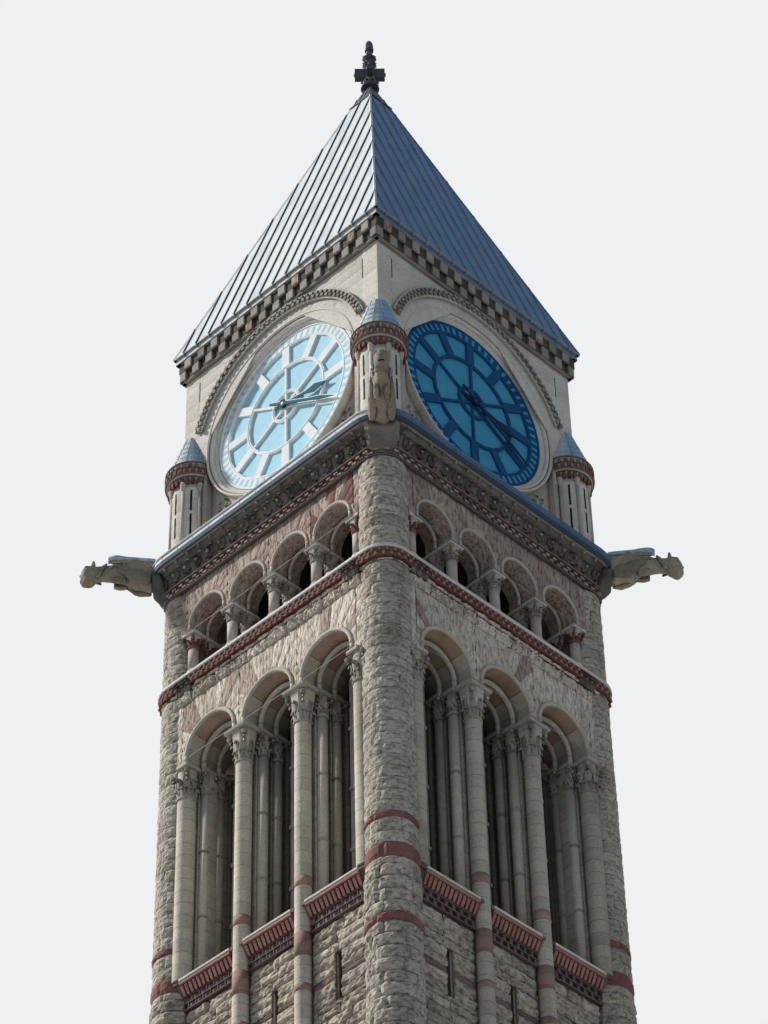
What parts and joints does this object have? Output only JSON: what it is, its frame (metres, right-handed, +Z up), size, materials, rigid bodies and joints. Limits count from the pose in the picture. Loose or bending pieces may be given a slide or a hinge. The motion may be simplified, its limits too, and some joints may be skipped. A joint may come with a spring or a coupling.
{
  "type": "stone clock tower, scale model at 1:10",
  "caption": "Square stone clock tower with an arched belfry, a small arcade, a dial on each face, corner turrets, gargoyles and a pyramid roof, as a 1:10 model.",
  "frame": {"origin": "on the ground at the tower's vertical axis", "axes": "+Z up; -Y is the sunlit front face, +X the shaded right face"},
  "size_m": [1.4338, 1.4338, 10.36],
  "materials": {
    "grey_stone": "rock-faced and tooled sandstone",
    "red_stone": "carved red sandstone",
    "carved_stone": "weathered carved stone",
    "pale_stone": "smooth pale ashlar",
    "sheet_metal": "standing-seam sheet metal",
    "dial_metal": "painted cast metal",
    "dial_glass": "opal glass",
    "dark_iron": "dark painted iron"
  },
  "bodies": {
    "tower": {"arcade_colonnettes_inner": "grey_stone", "arcade_colonnettes_outer": "grey_stone", "arcade_wall_back": "red_stone", "arcade_wall_front": "red_stone", "arcade_wall_left": "red_stone", "arcade_wall_right": "red_stone", "belfry_arches_back": "grey_stone", "belfry_arches_front": "grey_stone", "belfry_arches_left": "grey_stone", "belfry_arches_right": "grey_stone", "belfry_columns": "grey_stone", "belfry_floor": "grey_stone", "belfry_piers": "grey_stone", "clock_room_floor": "grey_stone", "clock_wall_back": "pale_stone", "clock_wall_front": "pale_stone", "clock_wall_left": "pale_stone", "clock_wall_right": "pale_stone", "corner_shafts": "grey_stone", "cornice_ledge": "sheet_metal", "dial_frames": "dial_metal", "dial_glass": "dial_glass", "dial_hoods": "pale_stone", "eaves_cornice": "carved_stone", "finial": "dark_iron", "gallery_floor": "grey_stone", "gargoyles": "grey_stone", "lower_wall_back": "grey_stone", "lower_wall_front": "grey_stone", "lower_wall_left": "grey_stone", "lower_wall_right": "grey_stone", "main_cornice": "carved_stone", "roof": "sheet_metal", "sill_course": "red_stone", "string_course": "red_stone", "turret_roofs": "grey_stone", "turrets": "grey_stone"},
    "minute_hand_front": {"minute_hand_front": "dark_iron"},
    "hour_hand_back": {"hour_hand_back": "dark_iron"},
    "hour_hand_front": {"hour_hand_front": "dark_iron"},
    "hour_hand_left": {"hour_hand_left": "dark_iron"},
    "hour_hand_right": {"hour_hand_right": "dark_iron"},
    "minute_hand_back": {"minute_hand_back": "dark_iron"},
    "minute_hand_left": {"minute_hand_left": "dark_iron"},
    "minute_hand_right": {"minute_hand_right": "dark_iron"}
  },
  "joints": [
    {"name": "minute_hand_front_turn", "type": "hinge", "parent": "tower", "child": "minute_hand_front", "pos_m": [0, -0.4585, 8.02], "axis": [0, 1, 0], "continuous": true},
    {"name": "hour_hand_back_turn", "type": "hinge", "parent": "tower", "child": "hour_hand_back", "pos_m": [0, 0.4505, 8.02], "axis": [0, -1, 0], "continuous": true},
    {"name": "hour_hand_front_turn", "type": "hinge", "parent": "tower", "child": "hour_hand_front", "pos_m": [0, -0.4505, 8.02], "axis": [0, 1, 0], "continuous": true},
    {"name": "hour_hand_left_turn", "type": "hinge", "parent": "tower", "child": "hour_hand_left", "pos_m": [-0.4505, 0, 8.02], "axis": [1, 0, 0], "continuous": true},
    {"name": "hour_hand_right_turn", "type": "hinge", "parent": "tower", "child": "hour_hand_right", "pos_m": [0.4505, 0, 8.02], "axis": [-1, 0, 0], "continuous": true},
    {"name": "minute_hand_back_turn", "type": "hinge", "parent": "tower", "child": "minute_hand_back", "pos_m": [0, 0.4585, 8.02], "axis": [0, -1, 0], "continuous": true},
    {"name": "minute_hand_left_turn", "type": "hinge", "parent": "tower", "child": "minute_hand_left", "pos_m": [-0.4585, 0, 8.02], "axis": [1, 0, 0], "continuous": true},
    {"name": "minute_hand_right_turn", "type": "hinge", "parent": "tower", "child": "minute_hand_right", "pos_m": [0.4585, 0, 8.02], "axis": [-1, 0, 0], "continuous": true}
  ],
  "couplings": [
    {"joint": "hour_hand_back_turn", "follows": "minute_hand_front_turn", "ratio": 0.083333},
    {"joint": "hour_hand_front_turn", "follows": "minute_hand_front_turn", "ratio": 0.083333},
    {"joint": "hour_hand_left_turn", "follows": "minute_hand_front_turn", "ratio": 0.083333},
    {"joint": "hour_hand_right_turn", "follows": "minute_hand_front_turn", "ratio": 0.083333},
    {"joint": "minute_hand_back_turn", "follows": "minute_hand_front_turn", "ratio": 1},
    {"joint": "minute_hand_left_turn", "follows": "minute_hand_front_turn", "ratio": 1},
    {"joint": "minute_hand_right_turn", "follows": "minute_hand_front_turn", "ratio": 1}
  ]
}
